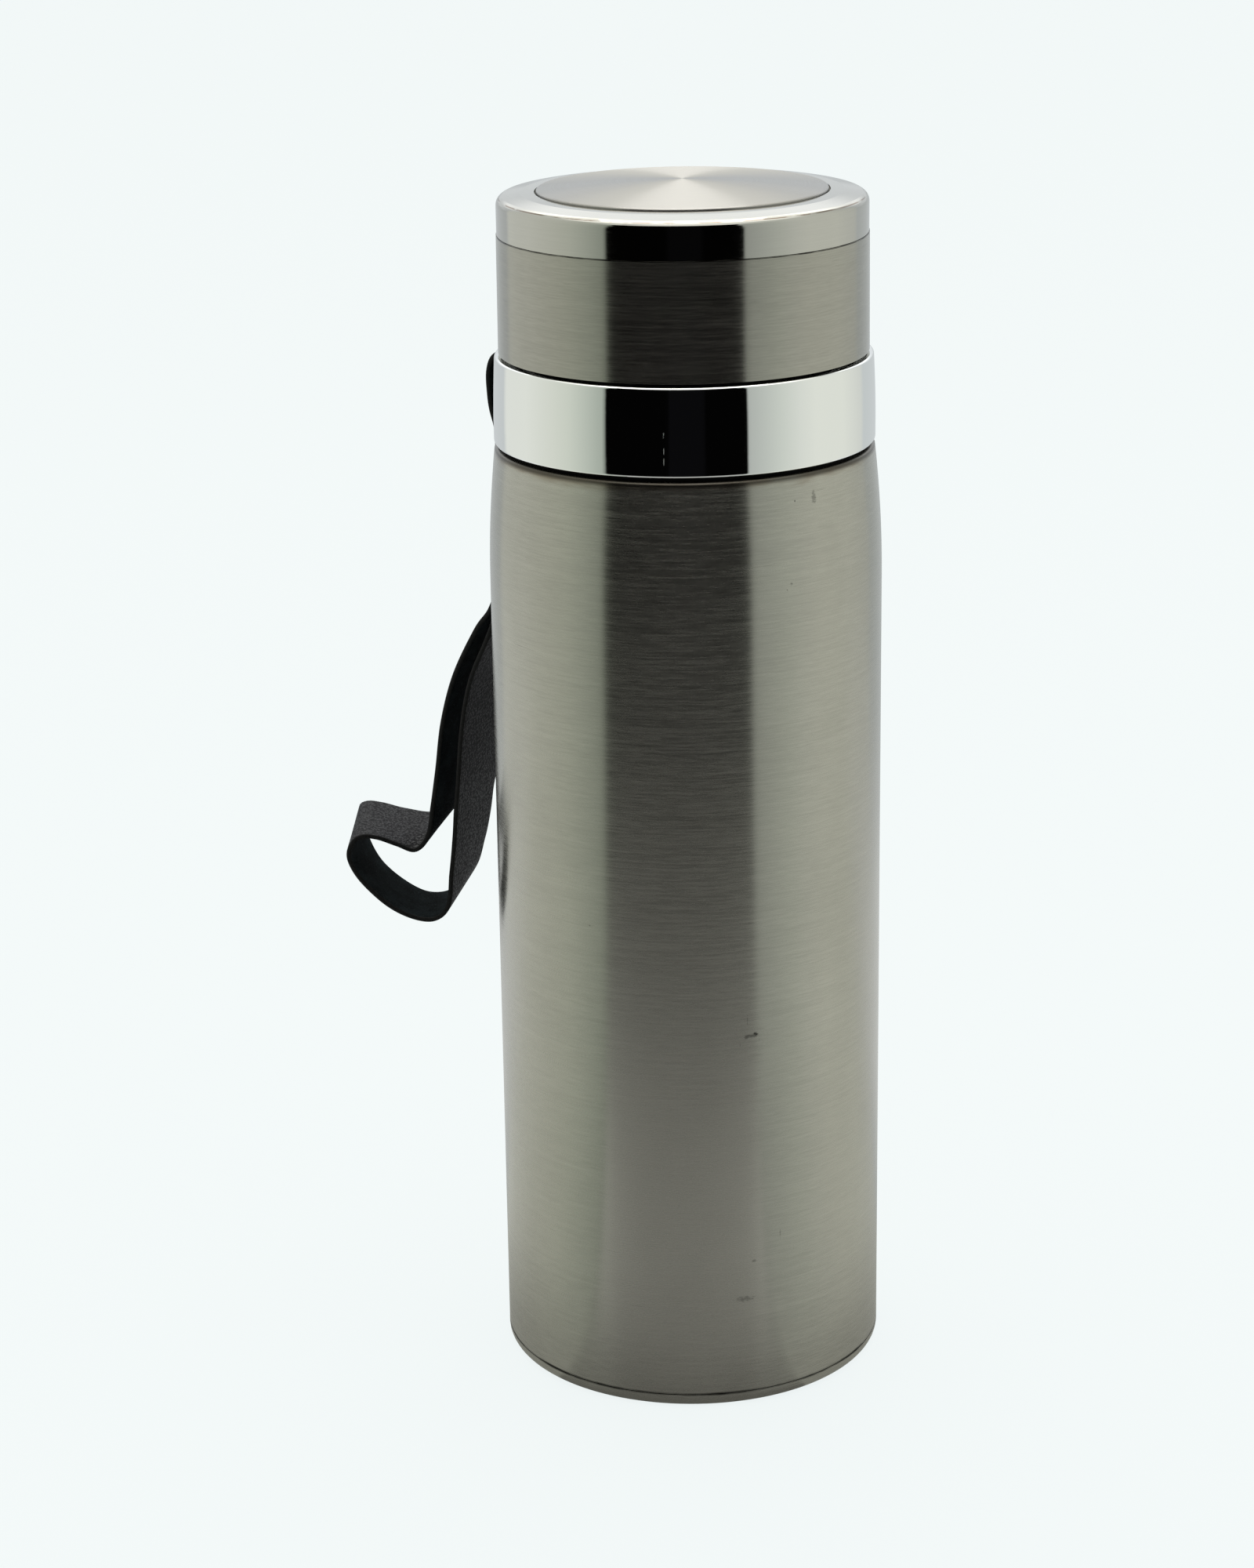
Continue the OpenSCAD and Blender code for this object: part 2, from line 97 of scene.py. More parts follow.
class Shade:  # one node tree
    def __init__(self, tree):
        self.tree = tree
        tree.nodes.clear()

    def use(self, kind, settings=None, values=None, output=0):
        made = self.tree.nodes.new("ShaderNode" + kind)
        for key, setting in (settings or {}).items():
            if key == "stops":
                while len(made.color_ramp.elements) < len(setting):
                    made.color_ramp.elements.new(1.0)
                for element, (at, colour) in zip(made.color_ramp.elements, setting):
                    element.position, element.color = at, (*colour, 1.0)
            else:
                setattr(made, key, setting)
        for key, value in (values or {}).items():
            socket = made.inputs[key]
            if isinstance(value, Link):
                self.tree.links.new(value.socket, socket)
            elif socket.type == "RGBA" and len(value) == 3:
                socket.default_value = (*value, 1.0)
            else:
                socket.default_value = value
        return Link(self, made.outputs[output]) if len(made.outputs) else made

    def mix(self, amount, first, second, how="MIX"):
        return self.use("Mix", {"data_type": "RGBA", "blend_type": how}, {0: amount, 6: first, 7: second}, 2)

    def place(self):
        return self.use("TexCoord", output="Object")

    def axes(self, place):
        return [self.use("SeparateXYZ", None, {0: place}, k) for k in range(3)]

    def around(self, x, y):  # direction round the flask in degrees, 0 at the front
        return self.use("Math", {"operation": "ARCTAN2"}, {0: x, 1: y * -1.0}) * (180 / math.pi)

    def stretch(self, place, scale):
        scale = scale if isinstance(scale, tuple) else (scale,) * 3
        return self.use("VectorMath", {"operation": "MULTIPLY"}, {0: place, 1: scale})

    def noise(self, place, scale, detail=2.0, rough=0.5):
        values = {"Vector": self.stretch(place, scale), "Scale": 1.0, "Detail": detail, "Roughness": rough}
        return self.use("TexNoise", None, values)

    def bump(self, height, depth, strength=1.0):
        return self.use("Bump", None, {"Height": height, "Distance": depth, "Strength": strength})

    def surface(self, values):
        shader = self.use("BsdfPrincipled", None, values)
        self.use("OutputMaterial", None, {"Surface": shader})


def newMaterial(name):
    made = bpy.data.materials.new(name)
    made.use_nodes = True
    return made, Shade(made.node_tree)


def darker(colour, share):
    return tuple(c * share for c in colour)


def putInScene(made):
    bpy.context.scene.collection.objects.link(made)
    return made


camera = {
    "spot": (0.0, -0.6211, 0.3067),
    "down": 17.709, "turn": 1.024, "tilt": 0.857,  # degrees: down from level, to the left, rolled
    "lens": 82.07, "sensor": 36.0, "clip": (0.01, 100.0),
}


def makeCamera(v):
    data = bpy.data.cameras.new("camera")
    data.sensor_width, data.lens = v["sensor"], v["lens"]
    data.clip_start, data.clip_end = v["clip"]
    made = putInScene(bpy.data.objects.new("camera", data))
    down, turn, tilt = (math.radians(v[k]) for k in ("down", "turn", "tilt"))
    aim = Matrix.Rotation(turn, 4, "Z") @ Matrix.Rotation(math.pi / 2 - down, 4, "X")
    made.matrix_world = Matrix.Translation(v["spot"]) @ aim @ Matrix.Rotation(-tilt, 4, "Z")
    bpy.context.scene.camera = made


makeCamera(camera)
print("camera ready")


# a pale tent with a dark opening at the front, a bright back wall and a roof
studio = {
    "backdrop": (0.905, 0.956, 0.956),     # what the camera sees round the flask
    "openLeft": -47.5, "openRight": 37.4,  # the opening, in degrees from straight ahead
    "openSoft": 1.0,
    "openTop": (0.66, 0.84),               # sine of the height at which the opening ends
    "roof": (1.5, 1.5, 1.42),
    "behind": (130.0, 152.0),              # degrees from straight ahead at which the back wall starts
    "lampPower": 5.0, "lampSize": 0.9, "lampSpot": (0.0, 0.1, 1.15),
}
# the back wall gets brighter upwards: sines of the heights, colour
backWall = [
    ((0.02, 0.10), (0.75, 0.785, 0.805)),
    ((0.18, 0.35), (1.25, 1.28, 1.29)),
    ((0.45, 0.70), (2.4, 2.4, 2.25)),
]
# brightness of the tent's wall round the flask: degrees from straight ahead, colour
black, deepGrey = (0.001, 0.001, 0.001), (0.003, 0.003, 0.0035)
tentWall = [
    (-180, (0.60, 0.63, 0.645)), (-138, (0.56, 0.59, 0.60)), (-133, (0.74, 0.76, 0.72)),
    (-108, (0.745, 0.765, 0.715)), (-84, (0.66, 0.685, 0.62)), (-72, (0.60, 0.635, 0.565)),
    (-60, (0.49, 0.53, 0.47)), (-48.2, (0.37, 0.41, 0.36)), (-47, black),
    (-10, black), (-9, deepGrey), (11, deepGrey), (12, black),
    (37, black), (38, (0.44, 0.465, 0.44)), (48, (0.51, 0.54, 0.505)),
    (60, (0.60, 0.635, 0.585)), (72, (0.69, 0.715, 0.665)), (84, (0.745, 0.765, 0.705)),
    (108, (0.74, 0.76, 0.70)), (130, (0.64, 0.66, 0.625)), (135, (0.56, 0.595, 0.60)),
    (180, (0.60, 0.63, 0.645))]


def wallColour(s, x, y):  # the tent's colour by direction, and that direction in degrees
    around = s.around(x, y)
    stops = [((a + 180) / 360, colour) for a, colour in tentWall]
    return s.use("ValToRGB", {"stops": stops}, {"Fac": around / 360 + 0.5}), around


def makeWorld(v):
    world = bpy.data.worlds.new("tent")
    world.use_nodes = True
    bpy.context.scene.world = world
    s = Shade(world.node_tree)
    x, y, z = s.axes(s.use("TexCoord", output="Generated"))
    wall, around = wallColour(s, x, y)
    start, full = v["behind"]
    behind = (around * around).above(start ** 2, full ** 2)
    for band, colour in backWall:
        wall = s.mix(behind * z.above(*band), wall, colour)
    lit = s.mix(z.above(*v["openTop"]), wall, v["roof"])
    glow = s.use("Background", None, {"Color": lit, "Strength": 1.0})
    plain = s.use("Background", None, {"Color": v["backdrop"], "Strength": 1.0})
    seen = s.use("LightPath", output="Is Camera Ray")
    s.use("OutputWorld", None, {"Surface": s.use("MixShader", None, {0: seen, 1: glow, 2: plain})})


floor = {
    "size": 25.0, "sides": 96,
    "share": 0.08,                       # part of the floor's brightness that shadows can take away
    "paint": 0.66,                       # how much of the lamp's light that part gives back
    "shineSize": 4.0, "shineDrop": 0.0002,
    "near": (0.14, 0.33),                # in front the lit part of the floor fades over this reach
    "lit": (0.44, 0.445, 0.43), "edge": (0.60, 0.61, 0.59),
    "litMiddle": -5.0, "litSpread": 44.0,
    "back": (0.80, 0.82, 0.82), "backFrom": (0.05, 0.14), "backTo": (0.25, 0.45),
    # painted shadow round the flask's foot: reach over which it fades out, and its colour in front and at the
    # sides
    "rootShadowReach": (0.03, 0.10), "frontRootShadow": (0.19, 0.19, 0.18), "sideRootShadow": (0.35, 0.355, 0.33),
}


def makeDisc(name, radius, sides, height, material):
    mesh = bpy.data.meshes.new(name)
    bm = bmesh.new()
    bmesh.ops.create_circle(bm, cap_ends=True, radius=radius, segments=sides)
    bm.to_mesh(mesh)
    bm.free()
    mesh.materials.append(material)
    made = putInScene(bpy.data.objects.new(name, mesh))
    made.location.z = height
    return made


def floorPaint(v, studio):
    paint, s = newMaterial("floorPaint")
    s.surface({"Base Color": (v["share"] * v["paint"],) * 3, "Roughness": 1.0, "Specular IOR Level": 0.0,
               "Emission Color": studio["backdrop"], "Emission Strength": 1.0 - v["share"]})
    return paint


def floorGlow(v, studio):  # what polished metal sees of the floor: a disc glowing with the floor's light, with a painted shadow round the flask's foot
    paint, s = newMaterial("floorGlow")
    x, y, z = s.axes(s.place())
    wall, around = wallColour(s, x, y)
    reach = (x * x + y * y) ** 0.5
    left, right, soft = studio["openLeft"], studio["openRight"], studio["openSoft"]
    ahead = around.between((left - soft, left + soft), (right - soft, right + soft))
    behind = y.above(*v["backFrom"]) * (1.0 - reach.above(*v["backTo"]))
    lean = (around - v["litMiddle"]) / v["litSpread"]
    lit = s.mix(lean * lean, v["lit"], v["edge"])
    front = s.mix(ahead * (1.0 - reach.above(*v["near"])), s.mix(behind, wall, v["back"]), lit)
    # painted shadow round the foot
    rootShadow = s.mix(ahead, v["sideRootShadow"], v["frontRootShadow"])
    glow = s.mix(reach.above(*v["rootShadowReach"]), rootShadow, front)
    s.surface({"Base Color": (0.0, 0.0, 0.0), "Roughness": 1.0, "Specular IOR Level": 0.0,
               "Emission Color": glow, "Emission Strength": 1.0})
    return paint


def makeFloor(v, studio):
    seen = makeDisc("floor", v["size"], v["sides"], 0.0, floorPaint(v, studio))
    seen.visible_glossy = False
    shine = makeDisc("floorShine", v["shineSize"], v["sides"], -v["shineDrop"], floorGlow(v, studio))
    shine.visible_camera = shine.visible_diffuse = shine.visible_shadow = False
    shine.visible_transmission = False


def makeLamp(v):
    data = bpy.data.lights.new("roofLamp", "AREA")
    data.shape, data.size, data.energy = "DISK", v["lampSize"], v["lampPower"]
    putInScene(bpy.data.objects.new("roofLamp", data)).location = v["lampSpot"]


makeWorld(studio)
makeFloor(floor, studio)
makeLamp(studio)
bpy.context.scene.view_settings.view_transform = "Standard"
print("studio ready")


# heights of the joins, from the CAD pieces
bodyTop = heights("collar_gasket")[0]
collarLow, collarTop = heights("collar")
sleeveLow, sleeveTop = heights("lid_sleeve")
shellLow = heights("outer_shell")[0]
capTop = heights("lid_cap")[1]

bodySteel = {
    "colour": (0.452, 0.442, 0.392), "grain": 0.085, "nicks": 0.35, "stretch": 0.93,
    "rough": 0.25, "lower": 0.03, "lowerFade": (0.06, 0.16),  # the foot is a little rougher
}
lidSteel = {
    "colour": (0.40, 0.39, 0.345), "grain": 0.08, "nicks": 0.35, "stretch": 0.93,
    "rough": 0.225, "lower": 0.0, "lowerFade": (0.06, 0.16),
    "join": (sleeveTop - 0.00025, sleeveTop - 0.00015), "joinDark": (0.03, 0.028, 0.025),
}
# brown stain and painted shade under the gasket, painted shade on the body's rounded top edge there, and grime
# in the seam of the foot
grimeAndShade = {
    "stainAndShade": (0.27, 0.225, 0.17), "stainAndShadeFade": (bodyTop - 0.0006, bodyTop + 0.0012), "stainAndShadeRagged": 0.003,
    # painted shade on the rounded top edge under the gasket: colour, heights over which it fades in, and how
    # much of it is mixed in
    "edge": (0.02, 0.018, 0.015), "edgeShadeFade": (bodyTop - 0.0012, bodyTop - 0.0004), "edgeShadeShare": 0.75,
    "seam": (0.02, 0.02, 0.018), "seamMiddle": shellLow - 0.00007, "seamHalf": 0.0003,
}
# small dark marks on the body: direction in degrees, height, half width in degrees, half height, depth
bodyMarks = [
    (40.0, 0.1677, 0.9, 0.0013, 0.45), (33.1, 0.1676, 0.25, 0.00018, 0.7), (31.0, 0.1534, 0.5, 0.0003, 0.5),
    (29.6, 0.1525, 0.25, 0.0002, 0.5), (18.0, 0.0720, 3.0, 0.0005, 0.5), (19.2, 0.0724, 0.8, 0.0005, 0.7),
    (15.6, 0.0212, 3.4, 0.0006, 0.35), (20.4, 0.0712, 0.2, 0.0002, 0.6), (14.6, 0.0706, 0.2, 0.0004, 0.5),
    (16.8, 0.0750, 0.15, 0.0012, 0.4), (18.6, 0.0285, 0.8, 0.0003, 0.4), (-24.0, 0.1612, 0.3, 0.0002, 0.5),
    (24.0, 0.1100, 0.25, 0.00018, 0.5), (-30.0, 0.0920, 0.3, 0.00018, 0.45), (8.0, 0.1330, 0.3, 0.00018, 0.5),
    (27.0, 0.0330, 0.2, 0.0009, 0.35)]


def markShade(s, place, around, z, marks):  # how much the marks leave of the metal's brightness
    shade = 1.0
    ragged = s.noise(place, (1500.0, 1500.0, 2600.0), 3.0, 0.7)
    for turn, height, wide, tall, depth in marks:
        aside, up = (around - turn) / wide, (z - height) / tall
        spot = aside * aside + up * up + (ragged - 0.5) * 4.0 + 0.15
        shade = shade * (1.0 - (1.0 - spot.above(0.0, 1.2)) * depth)
    return shade


def addGrimeAndShade(s, place, z, colour, v):
    patch = s.noise(place, (90.0, 90.0, 500.0), 3.0, 0.6)
    # brown stain and painted shade: a ragged band that gets darker up towards the gasket
    stainAndShade = (z + patch * v["stainAndShadeRagged"]).above(*v["stainAndShadeFade"]) * patch.above(0.3, 0.6, 0.35, 0.75)
    colour = s.mix(stainAndShade, colour, v["stainAndShade"])
    # painted shade: the body's rounded top edge under the gasket is darkened
    colour = s.mix(z.above(*v["edgeShadeFade"]), colour, s.mix(v["edgeShadeShare"], colour, v["edge"]))
    seam = z.onLine(v["seamMiddle"], v["seamHalf"], 0.3, 1.6) * patch.above(0.35, 0.65, 0.2, 0.9)
    return s.mix(seam, colour, v["seam"])


def brushedSteel(name, v, marks=(), dirtAndShade=None):
    made, s = newMaterial(name)
    place = s.place()
    x, y, z = s.axes(place)
    fine = s.noise(place, (70.0, 70.0, 6500.0), 3.0, 0.6)
    coarse = s.noise(place, (28.0, 28.0, 1400.0), 3.0, 0.6)
    short = s.noise(place, (300.0, 300.0, 5500.0), 3.0, 0.65)
    broken = s.noise(place, (260.0, 260.0, 3800.0), 2.0)
    cloud = s.noise(place, (45.0, 45.0, 30.0), 3.0, 0.6)
    lines = fine * 0.35 + coarse * 0.2 + short * 0.45
    shade = lines.above(0.35, 0.65, 1.0 - v["grain"], 1.0 + v["grain"]) * cloud.above(0.3, 0.7, 0.97, 1.03)
    shade = shade * (1.0 - fine.above(0.66, 0.74) * broken.above(0.5, 0.62) * v["nicks"])
    if marks:
        shade = shade * markShade(s, place, s.around(x, y), z, marks)
    tint = s.use("CombineXYZ", None, {0: shade, 1: shade, 2: shade})
    colour = s.mix(1.0, v["colour"], tint, "MULTIPLY")
    if dirtAndShade:
        colour = addGrimeAndShade(s, place, z, colour, dirtAndShade)
    if "join" in v:  # the dark join with the cap above
        colour = s.mix(z.above(*v["join"]) * broken.above(0.35, 0.6, 0.5, 1.0), colour, v["joinDark"])
    rough = lines.above(0.3, 0.7, v["rough"] - 0.045, v["rough"] + 0.045)
    rough = rough + z.above(*v["lowerFade"], v["lower"], 0.0)
    s.surface({"Base Color": colour, "Metallic": 1.0, "Roughness": rough, "Anisotropic": v["stretch"],
               "Anisotropic Rotation": 0.25, "Normal": s.bump(lines, 0.00001, 0.2)})
    return made


# the collar's plating has hairlines on its right side and one short worn line near the middle
mirror = {
    "colour": (0.93, 0.94, 0.925), "rough": 0.035, "wave": 0.00006,
    "wornFrom": (27.0, 32.0), "wornTo": (48.0, 54.0), "wornTop": (collarLow + 0.00535, collarLow + 0.01035),
    "nickAt": -6.0, "nickHalf": 0.16,
    "nickLow": (collarLow + 0.00185, collarLow + 0.00285),
    "nickHigh": (collarLow + 0.00785, collarLow + 0.00885),
}


def chromePlate(name, v):
    made, s = newMaterial(name)
    place = s.place()
    x, y, z = s.axes(place)
    around = s.around(x, y)
    hair = s.noise(place, (1500.0, 1500.0, 50.0), 2.0).above(0.68, 0.74)
    worn = around.between(v["wornFrom"], v["wornTo"]) * (1.0 - z.above(*v["wornTop"]))
    nick = around.onLine(v["nickAt"], v["nickHalf"], 0.4, 1.2) * z.between(v["nickLow"], v["nickHigh"])
    nick = nick * s.noise(place, 700.0, 2.0).above(0.42, 0.52)
    s.surface({"Base Color": v["colour"], "Metallic": 1.0,
               "Roughness": hair * worn * 0.12 + nick * 0.5 + v["rough"],
               "Normal": s.bump(s.noise(place, 70.0, 1.0), v["wave"], 0.25)})
    return made


satin = {
    "colour": (0.57, 0.56, 0.52), "rough": 0.07,
    "rim": (0.20, 0.14, 0.10), "rimAt": capTop - 0.00095, "rimHalf": 0.00009,  # a thin brownish line painted below the shoulder
}


def capMetal(name, v):
    made, s = newMaterial(name)
    place = s.place()
    x, y, z = s.axes(place)
    lines = s.noise(place, (120.0, 120.0, 5000.0), 3.0, 0.6)
    broken = s.noise(place, (150.0, 150.0, 900.0), 3.0, 0.6)
    rim = z.onLine(v["rimAt"], v["rimHalf"], 0.3, 1.4) * broken.above(0.42, 0.55)
    tone = s.mix(lines.above(0.3, 0.7), darker(v["colour"], 0.97), v["colour"])
    s.surface({"Base Color": s.mix(rim * 0.8, tone, v["rim"]), "Metallic": 1.0,
               "Roughness": lines.above(0.3, 0.7, v["rough"] - 0.02, v["rough"] + 0.02),
               "Normal": s.bump(lines, 0.000004, 0.3)})
    return made


spun = {"colour": (0.40, 0.388, 0.365), "rough": 0.34, "stretch": 0.97, "rings": 4500.0, "drift": 60.0}


def spunSteel(name, v):
    made, s = newMaterial(name)
    x, y, z = s.axes(s.place())
    reach = (x * x + y * y) ** 0.5
    rings = s.use("CombineXYZ", None, {0: reach * v["rings"], 1: x * v["drift"], 2: y * v["drift"]})
    line = s.noise(rings, 1.0, 3.0, 0.6)
    tone = s.mix(line.above(0.3, 0.7), darker(v["colour"], 0.93), v["colour"])
    s.surface({"Base Color": tone, "Metallic": 1.0,
               "Roughness": line.above(0.2, 0.8, v["rough"] - 0.04, v["rough"] + 0.05),
               "Anisotropic": v["stretch"], "Anisotropic Rotation": 0.25,
               "Normal": s.bump(line, 0.00001, 0.4)})
    return made


plainSteels = {  # colour, roughness
    "pressedSteel": ((0.5, 0.5, 0.49), 0.35),
    "innerSteel": ((0.62, 0.62, 0.61), 0.22),
    "solderGrey": ((0.45, 0.45, 0.45), 0.5),
    "getterGrey": ((0.35, 0.35, 0.36), 0.6),
    "copperFoil": ((0.80, 0.48, 0.32), 0.3),
    "rivetNickel": ((0.70, 0.69, 0.66), 0.22),
}


def plainMetal(name):
    made, s = newMaterial(name)
    colour, rough = plainSteels[name]
    place = s.place()
    speck = s.noise(place, 900.0, 3.0, 0.6)
    cloud = s.noise(place, 70.0, 2.0)
    s.surface({"Base Color": s.mix(cloud.above(0.3, 0.7), darker(colour, 0.93), colour), "Metallic": 1.0,
               "Roughness": speck.above(0.3, 0.7, rough - 0.04, rough + 0.04),
               "Normal": s.bump(speck, 0.00001, 0.3)})
    return made


mouldings = {  # colour, roughness, size and depth of the surface's grain, specular level
    "lidPlastic": ((0.74, 0.74, 0.72), 0.42, 1500.0, 0.00002, 0.5),
    "blackRubber": ((0.004, 0.004, 0.004), 0.7, 1500.0, 0.00002, 0.08),
    "siliconeRing": ((0.72, 0.73, 0.73), 0.35, 1500.0, 0.00002, 0.5),
    "foamTape": ((0.20, 0.20, 0.21), 0.9, 2500.0, 0.0001, 0.5),
    "whiteFoam": ((0.82, 0.80, 0.75), 0.9, 1200.0, 0.0002, 0.5),
}


def moulded(name):
    made, s = newMaterial(name)
    colour, rough, scale, depth, specular = mouldings[name]
    place = s.place()
    speck = s.noise(place, scale, 3.0, 0.6)
    cloud = s.noise(place, 90.0, 2.0)
    s.surface({"Base Color": s.mix(cloud.above(0.3, 0.7), darker(colour, 0.9), colour),
               "Roughness": speck.above(0.3, 0.7, rough - 0.05, rough + 0.05),
               "Specular IOR Level": specular, "Normal": s.bump(speck, depth, 0.5)})
    return made


neck = {
    "low": (0.64, 0.64, 0.62), "high": (0.70, 0.70, 0.68),
    "gap": (0.003, 0.003, 0.003),        # painted shade: the plastic is painted dark where it shows in the gap between the collar and the lid
    "gapFrom": (collarTop - 0.0009, collarTop - 0.0005), "gapTo": (sleeveLow + 0.0005, sleeveLow + 0.0010),
}


def neckPlastic(name, v):
    made, s = newMaterial(name)
    place = s.place()
    x, y, z = s.axes(place)
    speck = s.noise(place, 1500.0, 3.0, 0.6)
    tone = s.mix(speck.above(0.3, 0.7), v["low"], v["high"])
    # painted shade in the gap between the collar and the lid
    s.surface({"Base Color": s.mix(z.between(v["gapFrom"], v["gapTo"]), tone, v["gap"]),
               "Roughness": speck.above(0.3, 0.7, 0.37, 0.47),
               "Specular IOR Level": 0.3, "Normal": s.bump(speck, 0.00002, 0.5)})
    return made


def dress():
    finishes = {
        ("outer_shell", "base_cover"): brushedSteel("bodySteel", bodySteel, bodyMarks, grimeAndShade),
        ("lid_sleeve",): brushedSteel("lidSteel", lidSteel),
        ("collar",): chromePlate("collarChrome", mirror),
        ("lid_cap",): capMetal("capSatin", satin),
        ("lid_disc",): spunSteel("spunDisc", spun),
        ("outer_bottom",): plainMetal("pressedSteel"),
        ("inner_flask", "inner_bottom"): plainMetal("innerSteel"),
        ("seal_bead",): plainMetal("solderGrey"),
        ("getter",): plainMetal("getterGrey"),
        ("heat_shield",): plainMetal("copperFoil"),
        ("strap_rivet", "rivet_washer"): plainMetal("rivetNickel"),
        ("neck_ring",): neckPlastic("neckPlastic", neck),
        ("lid_liner", "lid_plug"): moulded("lidPlastic"),
        ("collar_gasket",): moulded("blackRubber"),
        ("lid_seal",): moulded("siliconeRing"),
        ("disc_pad",): moulded("foamTape"),
        ("plug_foam", "lid_foam"): moulded("whiteFoam"),
    }
    for names, finish in finishes.items():
        for name in names:
            data = nodes[name].data
            data.materials.clear()
            data.materials.append(finish)


dress()
print("metal and plastic ready")


strap = {  # millimetres and degrees
    "width": 14.0, "thick": 0.9,
    "side": 145.0,                       # direction round the body, from +X
    "pivotOut": 33.4, "pivotUp": 181.0,  # the bar in the collar's window
    "bodyOut": 35.0, "nearOut": 35.8, "strandStep": 1.1,
    "eye": 4.45, "bulge": 0.7,           # the eye's radius, and how far it stands out where the strands leave
    "step": 0.55, "smooth": 40,          # spacing of the rings, and points between two rows
    "across": 18, "edgeSides": 8, "edgeRound": 0.34,
}
eyeTurn = (250, 215, 180, 145, 110, 75, 40, 5)
outerRows = ((1.55, -3.5), (1.15, -6.3), (0.3, -9))
innerRows = ((-0.05, -8), (-0.5, -6), (-1.7, -4.8))
straightDrops = (11, 15, 19, 23, 27, 31)
# the free loop: out from the body, down from the pivot, sideways, turn and lean of the width
freeRows = (
    (2.2, -38, 0, 0, 0), (4.5, -44, 0, 0, 0), (8, -48.5, 0, 0, 0), (13.5, -58, 0, 1, 0),
    (17, -67.5, 0, 3, 2), (18.5, -76.5, 0.5, 5, 5), (19.5, -83.5, 1.5, 7, 10),
    (20.5, -88.5, 2.5, 10, 16), (23.8, -91.5, 4.2, 21, 14), (27.3, -90.5, 7, 31, 11),
    (30, -88.8, 10.3, 34, 10), (32, -88.3, 12.7, 33, 11), (33.3, -90, 13.6, 30, 15),
    (33.3, -94.3, 13, 26, 3), (31.3, -99, 11.6, 24, -3), (27.3, -103.5, 9, 23, -2),
    (23.7, -106, 6, 23, 0), (20, -105.7, 3.5, 20, 7), (16.7, -101.5, 2.3, 13, 20),
    (16, -96, 1.3, 10, 14), (15.6, -92.5, 0.8, 9, 10), (15.2, -88.5, 0.4, 8, 7),
    (14.8, -84.3, 0.2, 7, 5), (14, -79, 0, 5, 3), (12.3, -68, 0, 2, 1), (9.8, -58.5, 0, 1, 0),
    (5.3, -49.5, 0, 0, 0), (2.8, -43.5, 0, 0, 0), (1.2, -37, 0, 0, 0))


def strapRows(v):
    rows = []
    for turn in eyeTurn:
        r = v["eye"] + (v["bulge"] if turn < 60 else v["bulge"] / 4 if turn < 90 else 0)
        a = math.radians(turn)
        rows.append((v["pivotOut"] + r * math.cos(a), v["pivotUp"] + r * math.sin(a), 0, 0, 0))
    far = v["nearOut"] + v["strandStep"]
    rows += [(far + a, v["pivotUp"] + b, 0, 0, 0) for a, b in outerRows]
    rows += [(far, v["pivotUp"] - d, 0, 0, 0) for d in straightDrops]
    rows += [(v["bodyOut"] + r[0], v["pivotUp"] + r[1], *r[2:]) for r in freeRows]
    rows += [(v["nearOut"], v["pivotUp"] - d, 0, 0, 0) for d in reversed(straightDrops)]
    rows += [(v["nearOut"] + a, v["pivotUp"] + b, 0, 0, 0) for a, b in innerRows]
    return np.array(rows, float)


def smoothRows(rows, fine):  # a closed smooth curve through the rows, and its slope
    n = len(rows)
    u = np.arange(n * fine) / fine
    i = np.floor(u).astype(int)
    t = (u - i)[:, None]
    a, b, c, d = (rows[(i + k) % n] for k in (-1, 0, 1, 2))
    at = (2 * b + (c - a) * t + (2 * a - 5 * b + 4 * c - d) * t**2 + (3 * b - a - 3 * c + d) * t**3) / 2
    slope = ((c - a) + 2 * (2 * a - 5 * b + 4 * c - d) * t + 3 * (3 * b - a - 3 * c + d) * t**2) / 2
    return at, slope


def strapFrames(v):  # middle, width and thickness direction at even steps, and the strap's length
    at, slope = smoothRows(strapRows(v), v["smooth"])
    mid = at[:, (0, 2, 1)]
    turn, lean = np.radians(at[:, 3]), np.radians(at[:, 4])
    wide = np.stack([np.sin(turn) * np.cos(lean), -np.cos(turn) * np.cos(lean), np.sin(lean)], 1)
    thick = np.cross(slope[:, (0, 2, 1)], wide)
    thick /= np.linalg.norm(thick, axis=1)[:, None]
    gaps = np.linalg.norm(np.roll(mid, -1, 0) - mid, axis=1)
    along = np.concatenate([[0], np.cumsum(gaps)])
    count = int(along[-1] / v["step"])
    wanted = np.arange(count) * along[-1] / count

    def pick(rows):
        return np.stack([np.interp(wanted, along, np.append(q, q[0])) for q in rows.T], 1)

    return pick(mid), pick(wide), pick(thick), along[-1]


def strapSection(v):  # across, through, part of the leather: 0 flesh, 1 cut edge, 2 grain
    half, deep, r = v["width"] / 2, v["thick"] / 2, v["edgeRound"]
    flat = np.linspace(-half + r, half - r, v["across"])
    turns = [math.pi * k / v["edgeSides"] for k in range(1, v["edgeSides"])]
    right = [(half - r + r * math.sin(a), deep * math.cos(a), 1) for a in turns]
    left = [(-across, -through, part) for across, through, part in right]
    return [(a, deep, 0) for a in flat] + right + [(a, -deep, 2) for a in flat[::-1]] + left


